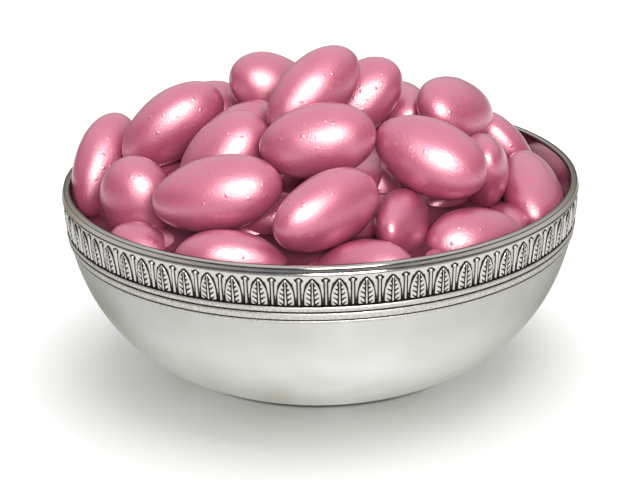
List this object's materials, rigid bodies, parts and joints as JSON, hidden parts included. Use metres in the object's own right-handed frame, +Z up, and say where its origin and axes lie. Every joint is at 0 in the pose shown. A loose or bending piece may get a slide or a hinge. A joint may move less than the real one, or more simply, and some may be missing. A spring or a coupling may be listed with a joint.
{
  "type": "sugared almonds in a bowl",
  "caption": "Heap of pearly pink sugared almonds piled above the rim of a round metal bowl with a band of upright leaves.",
  "frame": {"origin": "centre of the bowl's flat base", "axes": "+Z up, along the bowl's axis; -Y towards the side that the picture shows, +X to that view's right"},
  "size_m": [0.1602, 0.1602, 0.1029],
  "materials": {
    "bowl_metal": "satin silver-coloured metal, dark in the chased grooves of the leaf band",
    "almond_sugar": null
  },
  "bodies": {
    "root": {"bowl": "bowl_metal", "almond_heap": "almond_sugar"}
  },
  "joints": []
}
